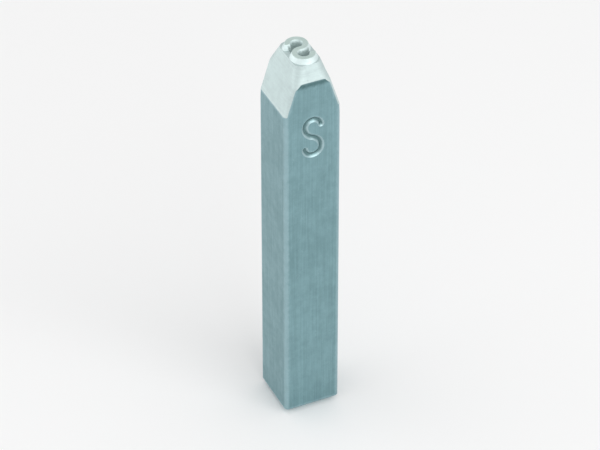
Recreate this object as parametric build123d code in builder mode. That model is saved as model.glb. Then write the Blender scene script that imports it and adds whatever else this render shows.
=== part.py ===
"""Steel letter punch: a square shank, a head that tapers on four sides and one raised letter.

Millimetres. The punch stands on its struck end, with the letter at the top. The face that
carries the stamped mark looks towards -Y, and the origin is the centre of the struck end.
The raised letter is mirrored, so that it strikes a letter that reads the right way round.
"""

import os
from math import radians, tan

from build123d import *

os.makedirs("parts", exist_ok=True)

# Shank
shank_width = 9.0
punch_length = 65.0
shank_edge_round = 0.55
struck_end_chamfer = 0.9

# Raised letter on the tip
letter_width = 3.5
letter_height = 6.0
letter_stroke = 0.8
letter_relief = 0.8
flank_angle = 22.0

# Tapered head: both facet lengths are measured down from the face of the letter
side_facet_length = 8.5
front_facet_length = 3.1
head_edge_round = 0.75
head_corner_round = 1.3
land_margin = 0.05

# Mark stamped into the front face, upside down so that it reads with the tip held down
mark_width = 3.6
mark_height = 7.3
mark_stroke = 0.7
mark_depth = 0.28
mark_draft = 45.0
mark_below_head = 0.9

# How far each end of the letter stops short of a half turn of its bowl
end_angle = 8.0

half_shank = shank_width / 2
flank_run = letter_relief * tan(radians(flank_angle))
land_width = letter_width + 2 * (flank_run + land_margin)
land_depth = letter_height + 2 * (flank_run + land_margin)
land_z = punch_length - letter_relief
side_facet_z = punch_length - side_facet_length
front_facet_z = punch_length - front_facet_length
mark_z = side_facet_z - mark_below_head - mark_height / 2


def letter_outline(width, height, stroke):
    """The letter as a flat shape: an upper and a lower bowl, joined through the middle."""
    bowl = (width - stroke) / 2
    bowl_centre = (height - stroke) / 2 - bowl
    with BuildSketch(mode=Mode.PRIVATE) as outline:
        with BuildLine() as spine:
            CenterArc((0, bowl_centre), bowl, end_angle, 180 - end_angle)
            TangentArc((-bowl, bowl_centre), (0, 0), tangent=(0, -1))
            TangentArc((bowl, -bowl_centre), (0, 0), tangent=(0, 1))
            CenterArc((0, -bowl_centre), bowl, 180 + end_angle, 180 - end_angle)
        trace(spine.line, stroke)
    return outline.sketch


def rises(edge):
    """True for an edge that climbs the punch, false for one that lies across it."""
    return abs(edge.tangent_at(0.5).Z) > 0.5


with BuildPart() as letter_punch:
    # Square bar up to the land that the letter stands on
    with BuildSketch(Plane.XY):
        Rectangle(shank_width, shank_width)
    extrude(amount=land_z)

    # Outline in the front view and in the side view: chamfered below, ground facets above
    for view, land_size, facet_z in (
        (Plane.XZ, land_width, side_facet_z),
        (Plane.YZ, land_depth, front_facet_z),
    ):
        with BuildSketch(view):
            with BuildLine():
                Polyline(
                    (0, 0),
                    (half_shank - struck_end_chamfer, 0),
                    (half_shank, struck_end_chamfer),
                    (half_shank, facet_z),
                    (land_size / 2, land_z),
                    (0, land_z),
                    close=True,
                )
            make_face()
            mirror(about=Plane.YZ)
        extrude(amount=half_shank, both=True, mode=Mode.INTERSECT)

    # Corners: softest between the facets of the head, and blended downwards into the long edges
    for bottom, top, radius in (
        (front_facet_z, land_z, head_corner_round),
        (side_facet_z, front_facet_z, head_edge_round),
        (0, side_facet_z, shank_edge_round),
    ):
        corners = edges().filter_by(rises).filter_by_position(Axis.Z, bottom, top)
        fillet(corners, radius)

    # Raised letter: mirrored, with flanks that spread from its face down to the land
    with BuildSketch(Plane.XY.offset(land_z)):
        add(letter_outline(letter_width, letter_height, letter_stroke))
        offset(amount=flank_run, kind=Kind.ARC)
        mirror(about=Plane.YZ, mode=Mode.REPLACE)
    extrude(amount=letter_relief, taper=flank_angle)

    # Stamped mark: a groove with sloping walls
    with BuildSketch(Plane.XZ.offset(half_shank)):
        with Locations((0, mark_z)):
            add(letter_outline(mark_width, mark_height, mark_stroke), rotation=180)
    extrude(amount=-mark_depth, taper=mark_draft, mode=Mode.SUBTRACT)

letter_punch.part.label = "letter_punch"
export_step(letter_punch.part, "parts/letter_punch.step")
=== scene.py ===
"""A steel letter punch standing on its struck end: its ground head, its stamped mark and its steel."""

import math

import bmesh
import bpy
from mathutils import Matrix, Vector


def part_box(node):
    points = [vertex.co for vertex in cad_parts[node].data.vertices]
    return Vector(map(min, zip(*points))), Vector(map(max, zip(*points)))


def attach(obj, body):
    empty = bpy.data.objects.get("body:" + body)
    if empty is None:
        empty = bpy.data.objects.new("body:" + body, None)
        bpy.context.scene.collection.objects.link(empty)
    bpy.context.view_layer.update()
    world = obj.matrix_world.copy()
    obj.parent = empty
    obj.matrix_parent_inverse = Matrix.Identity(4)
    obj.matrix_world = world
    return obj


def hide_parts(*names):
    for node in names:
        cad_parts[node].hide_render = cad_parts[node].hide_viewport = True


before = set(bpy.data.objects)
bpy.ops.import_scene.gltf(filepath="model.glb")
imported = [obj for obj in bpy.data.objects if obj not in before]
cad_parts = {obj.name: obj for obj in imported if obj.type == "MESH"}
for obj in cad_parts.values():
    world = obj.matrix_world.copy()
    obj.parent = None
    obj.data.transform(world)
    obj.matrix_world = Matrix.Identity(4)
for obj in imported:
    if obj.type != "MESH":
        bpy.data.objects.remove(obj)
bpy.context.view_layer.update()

# Lengths are in millimetres, in the object's own frame: mesh_object brings each mesh to metres.
# The dressed punch stays a hair inside the solid's box.
MM = 0.001
hair = 0.0005
low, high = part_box("letter_punch")
punch_length = (high.z - low.z) / MM - hair
half_shank = (high.x - low.x) / MM / 2 - hair

# Edges of the bar
shank_edge_round = 0.55
struck_end_chamfer = 0.9
chamfer_ease = 0.12

# Tapered head: the long corners widen twice on the way up, across the borders of the facets
side_facet_length = 8.5
front_facet_length = 3.1
side_facet_z = punch_length - side_facet_length
front_facet_z = punch_length - front_facet_length
head_edge_round = 0.75
head_corner_round = 1.3
edge_blend_start = side_facet_z - 2.0
edge_blend_end = side_facet_z + 0.5
corner_blend_start = front_facet_z - 0.9
corner_blend_end = front_facet_z + 0.3
side_border_ease = 0.1
front_border_ease = 0.13
# Height of the band of painted shade on the front face under the front facet's border
shade_below_border = 1.25
land_edge_round = 0.07

# Raised letter
letter_width = 3.5
letter_height = 6.0
letter_stroke = 0.8
letter_relief = 0.8
face_edge_round = 0.07
flank_angle = math.radians(22)
root_angle = math.radians(52)
root_height = 0.07
letter_sink = 0.15
land_margin = 0.05
land_z = punch_length - letter_relief
land_half_width = letter_width / 2 + letter_relief * math.tan(flank_angle) + land_margin
land_half_depth = letter_height / 2 + letter_relief * math.tan(flank_angle) + land_margin
side_slope = (half_shank - land_half_width) / (land_z - side_facet_z)
front_slope = (half_shank - land_half_depth) / (land_z - front_facet_z)

# Stamped mark: a groove with a rounded floor, and a low lip of metal that the stamp pushed up
mark_width = 3.6
mark_height = 7.3
mark_stroke = 0.7
mark_depth = 0.28
mark_below_head = 0.9
mark_z = side_facet_z - mark_below_head - mark_height / 2
mouth_ease = 0.14
wall_angle = math.radians(36)
floor_round = 0.22
crest_round = 0.1
lip_rise = 0.03
lip_width = 0.22
lip_toe = 0.0042
lip_sink = 0.05

# How far each end of the letter stops short of a half turn of its bowl
end_angle = math.radians(8)

# Upward part of the normal at which the head's paler colour starts and is complete: partly its ground
# finish, partly a painted sheen where it faces up
sheen_start = 0.13
sheen_full = 0.17


def mesh_object(name, bm, material):
    """A new object at the origin from a bmesh in millimetres."""
    bmesh.ops.remove_doubles(bm, verts=bm.verts, dist=1e-5)
    bmesh.ops.dissolve_degenerate(bm, edges=bm.edges, dist=1e-5)
    bmesh.ops.recalc_face_normals(bm, faces=bm.faces)
    bmesh.ops.scale(bm, vec=(MM, MM, MM), verts=bm.verts)
    mesh = bpy.data.meshes.new(name)
    bm.to_mesh(mesh)
    bm.free()
    mesh.materials.append(material)
    piece = bpy.data.objects.new(name, mesh)
    bpy.context.scene.collection.objects.link(piece)
    return piece


def loft(rings, closed=False, folded=False):
    """Skin over rings that have the same number of points, capped at both ends.

    A closed loft ends where it starts. A folded one starts with a ring that runs along a line and back.
    """
    bm = bmesh.new()
    rows = [[bm.verts.new(point) for point in ring] for ring in rings]
    count = len(rows[0])
    pairs = list(zip(rows, rows[1:]))
    if closed:
        pairs.append((rows[-1], rows[0]))
    else:
        bm.faces.new(rows[-1])
        if not folded:
            bm.faces.new(rows[0][::-1])
    for lower, upper in pairs:
        for i in range(count):
            j = (i + 1) % count
            bm.faces.new((lower[i], lower[j], upper[j], upper[i]))
    return bm


def spread(start, end, count):
    """Evenly spaced values from start to end, both included."""
    return [start + (end - start) * i / count for i in range(count + 1)]


def eased_ramp(t, ease):
    """Zero below a bend and t above it, with a parabola across the bend."""
    if t <= -ease:
        return 0.0
    if t >= ease:
        return t
    return (t + ease) ** 2 / (4 * ease)


def step_up(value, start, end):
    """Smooth step from 0 at start to 1 at end."""
    t = min(max((value - start) / (end - start), 0.0), 1.0)
    return t * t * (3 - 2 * t)


def corner_round(z):
    """Radius of the long corners: it widens on the head, and most above the front facet's border."""
    on_head = step_up(z, edge_blend_start, edge_blend_end)
    on_top = step_up(z, corner_blend_start, corner_blend_end)
    radius = shank_edge_round + (head_edge_round - shank_edge_round) * on_head
    return radius + (head_corner_round - head_edge_round) * on_top


def section_ring(z, inset=0.0, arc_steps=16, flat_steps=5):
    """Rounded rectangle of the bar at a height, drawn in by an inset, its flats divided evenly.

    The front lies lower by the rise of the mark's lip, whose crest is then flush with the solid.
    """
    chamfer = eased_ramp(struck_end_chamfer - z, chamfer_ease)
    side_taper = side_slope * eased_ramp(z - side_facet_z, side_border_ease)
    front_taper = front_slope * eased_ramp(z - front_facet_z, front_border_ease)
    half_width = half_shank - side_taper - chamfer
    half_depth = half_shank - front_taper - chamfer
    radius = corner_round(z)
    centre_x = half_width - inset - radius
    corners = (
        (centre_x, half_depth - inset - radius),
        (-centre_x, half_depth - inset - radius),
        (-centre_x, lip_rise - half_depth + inset + radius),
        (centre_x, lip_rise - half_depth + inset + radius),
    )
    ring = []
    for quarter, (x, y) in enumerate(corners):
        for turn in spread(90 * quarter, 90 * (quarter + 1), arc_steps):
            angle = math.radians(turn)
            ring.append(Vector((x + radius * math.cos(angle), y + radius * math.sin(angle), z)))
    points = []
    for i, point in enumerate(ring):
        points.append(point)
        following = ring[(i + 1) % len(ring)]
        if i % (arc_steps + 1) == arc_steps:
            points += [point.lerp(following, share) for share in spread(0, 1, flat_steps)[1:-1]]
    return points


def bar_mesh():
    """The bar with its chamfered end, tapered head and eased edges, closed by the land."""
    edge_z = land_z - land_edge_round
    stretches = (
        (struck_end_chamfer + chamfer_ease, 6),
        (edge_blend_start, 20),
        (side_facet_z - side_border_ease, 8),
        (side_facet_z + side_border_ease, 6),
        (corner_blend_start, 10),
        (front_facet_z - front_border_ease, 9),
        (front_facet_z + front_border_ease, 8),
        (corner_blend_end, 3),
        (edge_z, 5),
    )
    heights = [0.0, struck_end_chamfer - chamfer_ease]
    for top, count in stretches:
        heights += spread(heights[-1], top, count)[1:]
    rings = [section_ring(z) for z in heights]
    for turn in spread(0, 90, 4)[1:]:
        angle = math.radians(turn)
        ring = section_ring(edge_z, inset=land_edge_round * (1 - math.cos(angle)))
        rings.append([point + Vector((0, 0, land_edge_round * math.sin(angle))) for point in ring])
    return loft(rings)


def letter_spine(width, height, stroke, trim, steps=40):
    """Points and directions along the middle of the stroke, cut back by the trim at both ends."""
    bowl = (width - stroke) / 2
    bowl_y = (height - stroke) / 2 - bowl
    join = (bowl ** 2 + bowl_y ** 2) / (2 * bowl)
    join_turn = math.asin(bowl_y / join)
    half = []
    for angle in spread(end_angle + trim / bowl, math.pi, steps)[:-1]:
        c, s = math.cos(angle), math.sin(angle)
        half.append((bowl * c, bowl_y + bowl * s, -s, c))
    for angle in spread(math.pi, math.pi + join_turn, steps // 2):
        c, s = math.cos(angle), math.sin(angle)
        half.append((join - bowl + join * c, bowl_y + join * s, -s, c))
    return half + [(-x, -y, dx, dy) for x, y, dx, dy in reversed(half[:-1])]


def turned(place, degrees):
    """A point of an outline with its outward direction turned by an angle."""
    x, y, nx, ny = place
    c, s = math.cos(math.radians(degrees)), math.sin(math.radians(degrees))
    return (x, y, nx * c - ny * s, nx * s + ny * c)


def letter_contour(width, height, stroke, inset, trim, corner_steps=6):
    """Closed outline of the letter, drawn in by the inset and cut back by the trim at both ends.

    Each point has its outward direction. A corner is one point with a fan of directions, so that
    outlines further out are rounded there.
    """
    spine = letter_spine(width, height, stroke, trim)
    reach = stroke / 2 - inset
    left = [(x - dy * reach, y + dx * reach, -dy, dx) for x, y, dx, dy in spine]
    right = [(x + dy * reach, y - dx * reach, dy, -dx) for x, y, dx, dy in reversed(spine)]
    outline = []
    for side, following in ((left, right), (right, left)):
        outline += side[:-1]
        outline += [turned(side[-1], turn) for turn in spread(0, -90, corner_steps)]
        outline += [turned(following[0], turn) for turn in spread(90, 0, corner_steps)[:-1]]
    return outline


def contour_rings(contour, levels, place):
    """One ring for each level, which is a distance out from the contour and a height."""
    return [[place(x + nx * out, y + ny * out, h) for x, y, nx, ny in contour] for out, h in levels]


def on_tip(x, y, h):
    """The letter is mirrored on the land, with its top to the back."""
    return (-x, y, land_z + h)


def on_front(x, y, h):
    """The mark is upside down on the front face."""
    return (-x, lip_rise - half_shank - h, mark_z - y)


def letter_mesh():
    """Raised letter with an eased face edge, sloping flanks and a wider root."""
    edge_turn = math.degrees(math.radians(90) - flank_angle)
    levels = []
    for turn in spread(0, edge_turn, 5):
        angle = math.radians(turn)
        fall = face_edge_round * (1 - math.cos(angle))
        levels.append((face_edge_round * math.sin(angle), letter_relief - fall))
    out, h = levels[-1]
    out += (h - root_height) * math.tan(flank_angle)
    levels.append((out, root_height))
    out += root_height * math.tan(root_angle)
    levels.append((out, 0.0))
    levels.append((out, -letter_sink))
    ease = face_edge_round
    contour = letter_contour(letter_width, letter_height, letter_stroke, inset=ease, trim=ease)
    return loft(contour_rings(contour, levels, on_tip))


def mark_contour():
    """Line along the middle of the groove and back, from which its walls and lip are measured.

    It is drawn in by the ease of the mouth, which then ends at the mark's own width and height.
    The groove's ends are round, and reach past the ends of this line.
    """
    width = mark_width - 2 * mouth_ease
    height = mark_height - 2 * mouth_ease
    return letter_contour(width, height, mark_stroke, inset=mark_stroke / 2, trim=0)


def crest_out():
    """How far the crest of the lip lies from the middle of the groove."""
    rounds = floor_round + crest_round
    wall_height = mark_depth + lip_rise - rounds * (1 - math.cos(wall_angle))
    return rounds * math.sin(wall_angle) + wall_height / math.tan(wall_angle)


def mark_groove_mesh():
    """The space that the stamp pressed out: a rounded floor, sloping walls and an eased mouth."""
    crest = crest_out()
    levels = []
    for angle in spread(0, wall_angle, 4):
        rise = floor_round * (1 - math.cos(angle))
        levels.append((floor_round * math.sin(angle), rise - mark_depth))
    for angle in spread(wall_angle, 0, 4)[:-1]:
        fall = crest_round * (1 - math.cos(angle))
        levels.append((crest - crest_round * math.sin(angle), lip_rise - fall))
    levels.append((crest + crest_round, lip_rise + crest_round / 4))
    levels.append((crest + crest_round, lip_rise + crest_round))
    return loft(contour_rings(mark_contour(), levels, on_front), folded=True)


def mark_lip_mesh():
    """Low lip of metal that the stamp pushed up round the groove: half a wave down from its crest."""
    crest = crest_out()
    wave = (lip_rise + lip_toe) / 2
    levels = [(crest - crest_round, -lip_sink), (crest - crest_round, lip_rise)]
    for angle in spread(0, math.pi, 5):
        levels.append((crest + lip_width * angle / math.pi, wave * (1 + math.cos(angle)) - lip_toe))
    levels.append((crest + lip_width, -lip_sink))
    return loft(contour_rings(mark_contour(), levels, on_front), closed=True)


def combine(piece, tool, operation):
    """Join or cut the piece with a tool, which is used up."""
    modifier = piece.modifiers.new(operation, "BOOLEAN")
    modifier.operation = operation
    modifier.solver = "MANIFOLD"
    modifier.material_mode = "TRANSFER"
    modifier.object = tool
    apply_modifiers(piece)
    bpy.data.objects.remove(tool)


def apply_modifiers(piece):
    """Replace the piece's mesh by what its modifiers make of it."""
    depsgraph = bpy.context.evaluated_depsgraph_get()
    result = bpy.data.meshes.new_from_object(piece.evaluated_get(depsgraph))
    piece.modifiers.clear()
    piece.data = result


class Nodes:
    """Short calls for the nodes of one shader tree. Values are numbers or other nodes' outputs."""

    def __init__(self, tree):
        self.tree = tree

    def add(self, kind, settings=None, **inputs):
        node = self.tree.nodes.new("ShaderNode" + kind)
        for name, value in (settings or {}).items():
            setattr(node, name, value)
        for name, value in inputs.items():
            self.feed(node.inputs[name.replace("_", " ")], value)
        return node

    def feed(self, socket, value):
        if isinstance(value, bpy.types.NodeSocket):
            self.tree.links.new(value, socket)
        else:
            socket.default_value = value

    def math(self, operation, *values):
        node = self.tree.nodes.new("ShaderNodeMath")
        node.operation = operation
        for socket, value in zip(node.inputs, values):
            self.feed(socket, value)
        return node.outputs[0]

    def scaled(self, vector, scale):
        node = self.add("VectorMath", {"operation": "MULTIPLY"})
        self.feed(node.inputs[0], vector)
        self.feed(node.inputs[1], scale)
        return node.outputs[0]

    def ramp(self, value, start, end, from_value=0.0, to_value=1.0):
        """Smooth step from one value to another."""
        node = self.add("MapRange", {"interpolation_type": "SMOOTHSTEP"}, Value=value)
        limits = {"From Min": start, "From Max": end, "To Min": from_value, "To Max": to_value}
        for name, number in limits.items():
            self.feed(node.inputs[name], number)
        return node.outputs["Result"]

    def noise(self, place, scale, detail=2.0, roughness=0.5):
        node = self.add("TexNoise", Vector=place, Scale=scale, Detail=detail, Roughness=roughness)
        return node.outputs["Fac"]

    def mix(self, share, first, second):
        """Mix of two colours."""
        node = self.add("Mix", {"data_type": "RGBA", "clamp_factor": True})
        self.feed(node.inputs["Factor"], share)
        self.feed(node.inputs[6], first)
        self.feed(node.inputs[7], second)
        return node.outputs[2]

    def blend(self, share, first, second):
        """Mix of two numbers."""
        node = self.add("Mix", {"data_type": "FLOAT", "clamp_factor": True})
        self.feed(node.inputs["Factor"], share)
        self.feed(node.inputs[2], first)
        self.feed(node.inputs[3], second)
        return node.outputs[0]


def shader_group(name, inputs, outputs):
    """A new shader group with its named sockets. Returns it with its input and output nodes."""
    group = bpy.data.node_groups.new(name, "ShaderNodeTree")
    kinds = {"value": "NodeSocketFloat", "colour": "NodeSocketColor", "vector": "NodeSocketVector"}
    for socket, kind in inputs.items():
        group.interface.new_socket(socket, in_out="INPUT", socket_type=kinds[kind])
    for socket, kind in outputs.items():
        group.interface.new_socket(socket, in_out="OUTPUT", socket_type=kinds[kind])
    return group, group.nodes.new("NodeGroupInput"), group.nodes.new("NodeGroupOutput")


def steel_surface_group():
    """Colour, roughness and height of worked steel: cloudy tone, working lines, grain and pits."""
    group, given, result = shader_group(
        "steel_surface",
        {
            "Place": "vector",
            "Colour": "colour",
            "Dark Colour": "colour",
            "Cloudiness": "value",
            "Line Stretch": "vector",
            "Lines": "value",
            "Grain": "value",
            "Pits": "value",
            "Roughness": "value",
        },
        {"Colour": "colour", "Roughness": "value", "Height": "value"},
    )
    nodes = Nodes(group)
    place = given.outputs["Place"]
    broad = nodes.noise(place, 0.16, detail=2.0)
    cloud = nodes.noise(place, 0.75, detail=4.0, roughness=0.6)
    along_lines = nodes.scaled(place, given.outputs["Line Stretch"])
    lines = nodes.noise(along_lines, 1.0, detail=3.0, roughness=0.65)
    grain = nodes.noise(place, 4.5, detail=3.0, roughness=0.7)
    pits = nodes.ramp(nodes.noise(nodes.scaled(place, (1.0, 1.0, 0.8)), 2.1, detail=1.0), 0.72, 0.8)

    tone = nodes.math("MULTIPLY_ADD", broad, 0.5, nodes.math("MULTIPLY", cloud, 0.5))
    tone = nodes.ramp(tone, 0.36, 0.64)
    tone = nodes.math("MULTIPLY", tone, given.outputs["Cloudiness"])
    line_tone = nodes.math("MULTIPLY", nodes.ramp(lines, 0.3, 0.7), given.outputs["Lines"])
    grain_tone = nodes.math("MULTIPLY", nodes.ramp(grain, 0.3, 0.7), given.outputs["Grain"])
    pit_tone = nodes.math("MULTIPLY", pits, given.outputs["Pits"])
    shade = nodes.math("ADD", tone, nodes.math("MULTIPLY", line_tone, 0.5))
    shade = nodes.math("ADD", shade, nodes.math("MULTIPLY", grain_tone, 0.45))
    shade = nodes.math("ADD", shade, pit_tone)
    colour = nodes.mix(shade, given.outputs["Colour"], given.outputs["Dark Colour"])
    nodes.feed(result.inputs["Colour"], colour)

    rough = nodes.math("MULTIPLY_ADD", shade, 0.14, given.outputs["Roughness"])
    rough = nodes.math("MULTIPLY_ADD", cloud, 0.08, rough)
    nodes.feed(result.inputs["Roughness"], rough)

    height = nodes.math("MULTIPLY", grain, given.outputs["Grain"])
    height = nodes.math("MULTIPLY_ADD", lines, given.outputs["Lines"], height)
    height = nodes.math("MULTIPLY_ADD", pit_tone, -1.5, height)
    nodes.feed(result.inputs["Height"], height)
    return group


def edge_wear_group():
    """Mask of the edges that rub bright in the hand and in storage, from the bar's own sizes.

    The distance to a facet's border grows with the depth inside the face too, weighted by inwards.
    """
    group, given, result = shader_group(
        "edge_wear",
        {"Place": "vector", "Width": "value", "Unevenness": "value"},
        {"Mask": "value"},
    )
    inwards = 6.0
    corner_reach = 0.3
    nodes = Nodes(group)
    parts = nodes.add("SeparateXYZ", Vector=given.outputs["Place"])
    across = nodes.math("ABSOLUTE", parts.outputs["X"])
    through = nodes.math("ABSOLUTE", parts.outputs["Y"])
    up = parts.outputs["Z"]
    side_rise = nodes.math("MAXIMUM", nodes.math("SUBTRACT", up, side_facet_z), 0.0)
    front_rise = nodes.math("MAXIMUM", nodes.math("SUBTRACT", up, front_facet_z), 0.0)
    half_width = nodes.math("MULTIPLY_ADD", side_rise, -side_slope, half_shank)
    half_depth = nodes.math("MULTIPLY_ADD", front_rise, -front_slope, half_shank)
    to_side = nodes.math("SUBTRACT", half_width, across)
    to_front = nodes.math("SUBTRACT", half_depth, through)
    to_corner = nodes.math("SUBTRACT", nodes.math("ADD", to_side, to_front), corner_reach)
    to_side_border = nodes.math("ABSOLUTE", nodes.math("SUBTRACT", up, side_facet_z))
    to_side_border = nodes.math("MULTIPLY_ADD", to_side, inwards, to_side_border)
    to_front_border = nodes.math("ABSOLUTE", nodes.math("SUBTRACT", up, front_facet_z))
    to_front_border = nodes.math("MULTIPLY_ADD", to_front, inwards, to_front_border)
    to_end = nodes.math("ABSOLUTE", nodes.math("SUBTRACT", up, struck_end_chamfer))
    to_edge = nodes.math("MINIMUM", to_corner, to_side_border)
    to_edge = nodes.math("MINIMUM", to_edge, to_front_border)
    to_edge = nodes.math("MINIMUM", to_edge, to_end)
    patches = nodes.noise(given.outputs["Place"], 1.3, detail=4.0, roughness=0.65)
    uneven = nodes.math("SUBTRACT", patches, 0.5)
    to_edge = nodes.math("MULTIPLY_ADD", uneven, given.outputs["Unevenness"], to_edge)
    nodes.feed(result.inputs["Mask"], nodes.ramp(to_edge, given.outputs["Width"], 0.0))
    return group


def scratches_group():
    """Mask of fine straight scratches in one direction, broken into short lengths."""
    group, given, result = shader_group(
        "scratches",
        {"Place": "vector", "Turn": "vector", "Spacing": "value", "Amount": "value"},
        {"Mask": "value"},
    )
    nodes = Nodes(group)
    rotate = nodes.add("VectorRotate", {"rotation_type": "EULER_XYZ"}, Vector=given.outputs["Place"])
    nodes.feed(rotate.inputs["Rotation"], given.outputs["Turn"])
    drawn_out = nodes.scaled(rotate.outputs[0], (0.25, 7.0, 7.0))
    thin = nodes.noise(drawn_out, given.outputs["Spacing"], detail=0.0)
    broken = nodes.noise(given.outputs["Place"], 0.5, detail=2.0)
    line = nodes.ramp(thin, 0.72, 0.8)
    line = nodes.math("MULTIPLY", line, nodes.ramp(broken, 0.45, 0.6))
    nodes.feed(result.inputs["Mask"], nodes.math("MULTIPLY", line, given.outputs["Amount"]))
    return group


def painted_shade_group():
    """Mask of painted shade, from a depth given in millimetres, made uneven."""
    group, given, result = shader_group(
        "painted_shade_mask",
        {"Place": "vector", "Depth": "value", "Unshaded Depth": "value", "Full Depth": "value"},
        {"Mask": "value"},
    )
    nodes = Nodes(group)
    patches = nodes.noise(given.outputs["Place"], 2.2, detail=4.0, roughness=0.6)
    uneven = nodes.math("SUBTRACT", patches, 0.5)
    span = nodes.math("SUBTRACT", given.outputs["Full Depth"], given.outputs["Unshaded Depth"])
    depth = nodes.math("MULTIPLY_ADD", uneven, span, given.outputs["Depth"])
    mask = nodes.ramp(depth, given.outputs["Unshaded Depth"], given.outputs["Full Depth"])
    nodes.feed(result.inputs["Mask"], mask)
    return group


groups = {
    "surface": steel_surface_group(),
    "wear": edge_wear_group(),
    "scratches": scratches_group(),
    "painted_shade": painted_shade_group(),
}


# Painted shade in the groove is laid on by this depth, darker towards the floor
def groove_depth(nodes, parts):
    """Depth below the front face."""
    return nodes.math("ADD", parts.outputs["Y"], half_shank - lip_rise)


# Painted shade in the letter's counters is laid on by this depth
def counter_depth(nodes, parts):
    """Depth below the letter's face, which fades out at a share of the way to the letter's outside."""
    fade = 4.0
    fade_share = 0.825
    across = nodes.math("DIVIDE", nodes.math("ABSOLUTE", parts.outputs["X"]), letter_width / 2)
    through = nodes.math("DIVIDE", nodes.math("ABSOLUTE", parts.outputs["Y"]), letter_height / 2)
    outwards = nodes.math("MAXIMUM", across, through)
    inside = nodes.math("MULTIPLY_ADD", outwards, -fade, fade * fade_share)
    depth = nodes.math("SUBTRACT", punch_length, parts.outputs["Z"])
    return nodes.math("MINIMUM", depth, inside)


# Painted shade under the head's border is laid on by this height
def border_depth(nodes, parts):
    """Height within the band of the front face that lies under the ground facet."""
    return nodes.math("SUBTRACT", parts.outputs["Z"], front_facet_z - shade_below_border)


def steel_layer(nodes, place, surface, worn, painted_shade, scratches=0.0):
    """Colour, roughness and height of one finish: surface, painted shade, worn edges and scratches."""
    parts = nodes.add("SeparateXYZ", Vector=place)
    finish = nodes.add("Group", {"node_tree": groups["surface"]}, Place=place, **surface)
    depth = painted_shade["depth"](nodes, parts)
    shaded = nodes.add("Group", {"node_tree": groups["painted_shade"]}, Place=place, Depth=depth)
    shaded.inputs["Unshaded Depth"].default_value = painted_shade["unshaded"]
    shaded.inputs["Full Depth"].default_value = painted_shade["full"]
    rubbed = nodes.add("Group", {"node_tree": groups["wear"]}, Place=place)
    rubbed.inputs["Width"].default_value = worn["width"]
    rubbed.inputs["Unevenness"].default_value = worn["unevenness"]
    marks = nodes.add("Group", {"node_tree": groups["scratches"]}, Place=place)
    marks.inputs["Turn"].default_value = (0.3, 0.9, 0.5)
    marks.inputs["Spacing"].default_value = 1.0
    marks.inputs["Amount"].default_value = scratches

    # Painted shade darkens the colour and dulls the roughness
    painted_shading = nodes.math("MULTIPLY", shaded.outputs["Mask"], painted_shade["amount"])
    bright = nodes.math("MULTIPLY", rubbed.outputs["Mask"], worn["amount"])
    bright = nodes.math("MAXIMUM", bright, marks.outputs["Mask"])
    colour = nodes.mix(painted_shading, finish.outputs["Colour"], (*painted_shade["colour"], 1))
    colour = nodes.mix(bright, colour, (*worn["colour"], 1))
    roughness = nodes.math("MULTIPLY_ADD", bright, -0.1, finish.outputs["Roughness"])
    roughness = nodes.math("MULTIPLY_ADD", painted_shading, 0.12, roughness)
    height = nodes.math("MULTIPLY_ADD", marks.outputs["Mask"], -0.6, finish.outputs["Height"])
    return colour, roughness, height


def steel_material(name, layer, ground_sheen_layer=None, bump=0.012):
    """Steel with one finish, or with a second, paler one where the head faces upwards: its ground
    finish with a painted sheen.
    """
    material = bpy.data.materials.new(name)
    material.use_nodes = True
    nodes = Nodes(material.node_tree)
    shader = material.node_tree.nodes["Principled BSDF"]
    place = nodes.scaled(nodes.add("TexCoord").outputs["Object"], (1 / MM, 1 / MM, 1 / MM))
    colour, roughness, height = steel_layer(nodes, place, **layer)
    if ground_sheen_layer:
        # Paler where the head faces up: its ground finish with a painted sheen
        rise = nodes.add("Attribute", {"attribute_name": "rise"}).outputs["Fac"]
        share = nodes.ramp(rise, sheen_start, sheen_full)
        ground_sheen_colour, ground_roughness, ground_height = steel_layer(nodes, place, **ground_sheen_layer)
        colour = nodes.mix(share, colour, ground_sheen_colour)
        roughness = nodes.blend(share, roughness, ground_roughness)
        height = nodes.blend(share, height, ground_height)
    nodes.feed(shader.inputs["Base Color"], colour)
    nodes.feed(shader.inputs["Roughness"], roughness)
    shader.inputs["Metallic"].default_value = 1.0
    relief = nodes.add("Bump", Height=height, Distance=bump * MM, Strength=1.0)
    nodes.feed(shader.inputs["Normal"], relief.outputs["Normal"])
    return material


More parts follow.
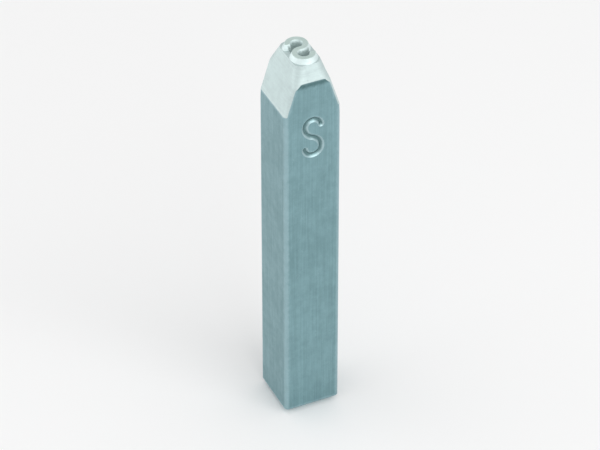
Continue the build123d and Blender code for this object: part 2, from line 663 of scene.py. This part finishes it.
def make_materials():
    """The steel of the bar with its ground head, of the letter's sides and face, and of the mark. The
    head's upward faces carry a painted sheen, the letter's sides are painted paler, and painted shade
    lies in the counters, the groove and under the head's border.
    """
    drawn = (5.0, 5.0, 0.1)
    cross_ground = (0.22, 0.22, 7.0)
    lapped = (0.5, 5.0, 1.0)
    pale = (0.86, 0.92, 0.92)
    # Painted shade in the letter's counters, darker the deeper below the face
    counter_shade = {
        "depth": counter_depth,
        "unshaded": 0.05,
        "full": 0.6,
        "amount": 0.62,
        "colour": (0.2, 0.28, 0.27),
    }
    satin = {
        "surface": {
            "Colour": (0.26, 0.425, 0.46, 1),
            "Dark_Colour": (0.168, 0.288, 0.31, 1),
            "Cloudiness": 0.35,
            "Line_Stretch": drawn,
            "Lines": 0.7,
            "Grain": 0.35,
            "Pits": 0.25,
            "Roughness": 0.34,
        },
        "worn": {"width": 0.55, "unevenness": 0.5, "amount": 0.4, "colour": (0.48, 0.65, 0.7)},
        # Painted shade in a band of the front face under the ground facet's border
        "painted_shade": {
            "depth": border_depth,
            "unshaded": 0.0,
            "full": 0.8,
            "amount": 0.65,
            "colour": (0.045, 0.108, 0.108),
        },
        "scratches": 0.15,
    }
    # The ground head's colour, paler with a painted sheen where it faces up
    ground_and_sheen = {
        "surface": {
            "Colour": (0.64, 0.745, 0.74, 1),
            "Dark_Colour": (0.53, 0.6, 0.605, 1),
            "Cloudiness": 0.3,
            "Line_Stretch": cross_ground,
            "Lines": 0.5,
            "Grain": 0.25,
            "Pits": 0.3,
            "Roughness": 0.6,
        },
        "worn": {"width": 0.2, "unevenness": 0.25, "amount": 0.25, "colour": pale},
        "painted_shade": counter_shade,
        "scratches": 0.1,
    }
    # The letter's sides are painted paler still: painted light against the shade they fall into
    painted_light_colours = {"Colour": (0.8, 0.9, 0.9, 1), "Dark_Colour": (0.64, 0.73, 0.73, 1)}
    painted_lit_letter_side = {**ground_and_sheen, "surface": {**ground_and_sheen["surface"], **painted_light_colours}}
    lapped_face = {
        "surface": {
            "Colour": (0.66, 0.79, 0.76, 1),
            "Dark_Colour": (0.5, 0.63, 0.6, 1),
            "Cloudiness": 0.35,
            "Line_Stretch": lapped,
            "Lines": 0.4,
            "Grain": 0.3,
            "Pits": 0.4,
            "Roughness": 0.38,
        },
        "worn": {"width": 0.2, "unevenness": 0.25, "amount": 0.0, "colour": pale},
        "painted_shade": counter_shade,
        "scratches": 0.1,
    }
    stamped = {
        "surface": {
            "Colour": (0.41, 0.57, 0.6, 1),
            "Dark_Colour": (0.295, 0.425, 0.45, 1),
            "Cloudiness": 0.4,
            "Line_Stretch": drawn,
            "Lines": 0.2,
            "Grain": 0.4,
            "Pits": 0.3,
            "Roughness": 0.34,
        },
        "worn": {"width": 0.2, "unevenness": 0.25, "amount": 0.0, "colour": pale},
        # Painted shade in the groove, darker towards its floor
        "painted_shade": {
            "depth": groove_depth,
            "unshaded": 0.05,
            "full": 0.26,
            "amount": 0.72,
            "colour": (0.053, 0.135, 0.139),
        },
    }
    return (
        steel_material("bar_steel", satin, ground_and_sheen),
        steel_material("letter_side_painted_lit_steel", painted_lit_letter_side),
        steel_material("letter_face_steel", lapped_face),
        steel_material("stamped_steel", stamped),
    )


def store_rise(piece):
    """Store how far each point of the head faces upwards, by which the ground finish and its painted
    sheen are laid on.
    """
    mesh = piece.data
    rise = mesh.attributes.new("rise", "FLOAT", "POINT")
    head_z = side_facet_z - 3 * side_border_ease
    for vertex, value in zip(mesh.vertices, rise.data):
        on_head = vertex.co.z / MM > head_z
        value.value = vertex.normal.z if on_head else 0.0


def finish_face(piece, material):
    """Give the letter's face its own finish."""
    face_z = punch_length - face_edge_round / 2
    piece.data.materials.append(material)
    for polygon in piece.data.polygons:
        if polygon.center.z / MM > face_z:
            polygon.material_index = len(piece.data.materials) - 1


def make_punch():
    """The dressed punch, which stands in for the solid."""
    bar, painted_lit_letter_side, letter_face, mark = make_materials()
    punch = mesh_object("punch", bar_mesh(), bar)
    combine(punch, mesh_object("raised_letter", letter_mesh(), painted_lit_letter_side), "UNION")
    combine(punch, mesh_object("mark_lip", mark_lip_mesh(), bar), "UNION")
    combine(punch, mesh_object("mark_groove", mark_groove_mesh(), mark), "DIFFERENCE")
    finish_face(punch, letter_face)
    store_rise(punch)
    punch.data.shade_smooth()
    punch.data.set_sharp_from_angle(angle=math.radians(32))
    weighted = punch.modifiers.new("even flats", "WEIGHTED_NORMAL")
    weighted.keep_sharp = True
    apply_modifiers(punch)
    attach(punch, "root")
    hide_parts("letter_punch")


def make_floor():
    """A pale floor under the struck end."""
    bpy.ops.mesh.primitive_plane_add(size=6)
    floor = bpy.context.object
    floor.name = "floor"
    material = bpy.data.materials.new("pale_floor")
    material.use_nodes = True
    shader = material.node_tree.nodes["Principled BSDF"]
    shader.inputs["Base Color"].default_value = (0.92, 0.92, 0.92, 1)
    shader.inputs["Roughness"].default_value = 0.9
    shader.inputs["Specular IOR Level"].default_value = 0.1
    floor.data.materials.append(material)


def view_direction(azimuth, elevation):
    """From the object towards a viewer. Azimuth 0 looks along +Y."""
    a, e = math.radians(azimuth), math.radians(elevation)
    return Vector((math.sin(a) * math.cos(e), -math.cos(a) * math.cos(e), math.sin(e)))


def make_camera():
    """The photo's viewpoint: from the left and above, through a long lens."""
    distance = 540 * MM
    shown_width = 90 * MM
    direction = view_direction(-25, 38)
    target = Vector((0, 0, 0.5 * punch_length * MM))
    data = bpy.data.cameras.new("camera")
    data.sensor_width = 36
    data.lens = data.sensor_width * distance / shown_width
    data.clip_start = 0.01
    camera = bpy.data.objects.new("camera", data)
    bpy.context.scene.collection.objects.link(camera)
    camera.location = target + direction * distance
    camera.rotation_euler = (-direction).to_track_quat("-Z", "Y").to_euler()
    bpy.context.scene.camera = camera


def softbox(name, azimuth, elevation, width, height, energy, distance=0.95):
    """A rectangular lamp that faces the punch."""
    data = bpy.data.lights.new(name, "AREA")
    data.shape = "RECTANGLE"
    data.size = width
    data.size_y = height
    data.energy = energy
    lamp = bpy.data.objects.new(name, data)
    bpy.context.scene.collection.objects.link(lamp)
    direction = view_direction(azimuth, elevation)
    lamp.location = direction * distance
    lamp.rotation_euler = (-direction).to_track_quat("-Z", "Y").to_euler()


def make_lights():
    """Even white surroundings, with a softbox on either side."""
    world = bpy.data.worlds.new("studio")
    bpy.context.scene.world = world
    world.use_nodes = True
    background = world.node_tree.nodes["Background"]
    background.inputs["Color"].default_value = (1, 1, 1, 1)
    background.inputs["Strength"].default_value = 0.8
    softbox("front_softbox", azimuth=14, elevation=34, width=0.9, height=0.8, energy=3.8)
    softbox("left_softbox", azimuth=-114, elevation=11, width=1.3, height=0.5, energy=2.5)


make_punch()
make_floor()
make_camera()
make_lights()
bpy.context.scene.view_settings.view_transform = "Standard"
